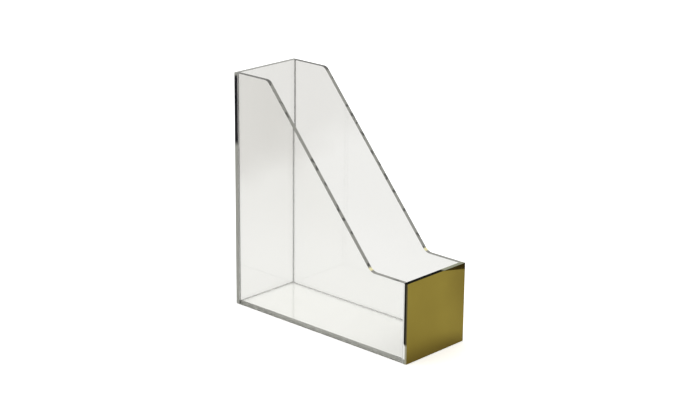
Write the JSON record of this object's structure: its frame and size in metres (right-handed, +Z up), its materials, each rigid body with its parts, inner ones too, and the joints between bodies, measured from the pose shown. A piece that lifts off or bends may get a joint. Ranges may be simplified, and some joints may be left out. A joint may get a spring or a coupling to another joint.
{
  "type": "magazine rack",
  "caption": "Desk-top magazine rack of clear acrylic sheet, open at the top, with sloped sides and a low gold mirror front.",
  "frame": {"origin": "centre of the footprint, on the surface that the rack stands on", "axes": "+Z up; -Y towards the low gold front; +X across the rack, to the right of someone facing the gold front"},
  "size_m": [0.092, 0.254, 0.267],
  "materials": {
    "clear_acrylic": "polished clear acrylic",
    "gold_mirror": "gold mirror"
  },
  "bodies": {
    "root": {"left_side_panel": "clear_acrylic", "right_side_panel": "clear_acrylic", "back_panel": "clear_acrylic", "base_panel": "clear_acrylic", "front_panel": "clear_acrylic", "gold_front_facing": "gold_mirror"}
  },
  "joints": []
}
